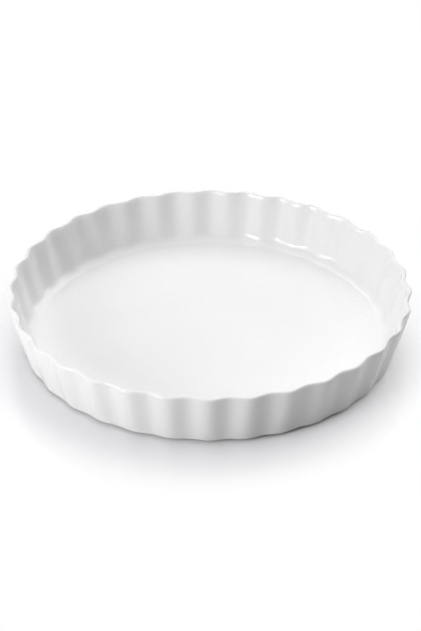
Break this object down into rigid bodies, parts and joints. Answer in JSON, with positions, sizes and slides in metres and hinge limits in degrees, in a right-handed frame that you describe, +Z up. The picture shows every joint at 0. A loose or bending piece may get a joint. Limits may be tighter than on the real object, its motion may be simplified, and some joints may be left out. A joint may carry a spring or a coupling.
{
  "type": "fluted quiche dish",
  "caption": "Round shallow baking dish with a flat floor, a flared fluted wall with a rounded lip, and a bare foot ring; glazed white ceramic, stands on a table or oven shelf.",
  "frame": {"origin": "on the table, under the middle of the dish", "axes": "+Z up along the axis of the round dish; +X through the crest of a flute; the picture looks along +Y and down"},
  "size_m": [0.27, 0.27, 0.04],
  "materials": {
    "fired_porcelain": "bare fired clay, fine and matt, seen only on the foot ring",
    "white_glaze": "white glaze with a soft gloss"
  },
  "bodies": {
    "root": {"porcelain_body": "fired_porcelain", "glaze_coat": "white_glaze", "underside_glaze": "white_glaze"}
  },
  "joints": []
}
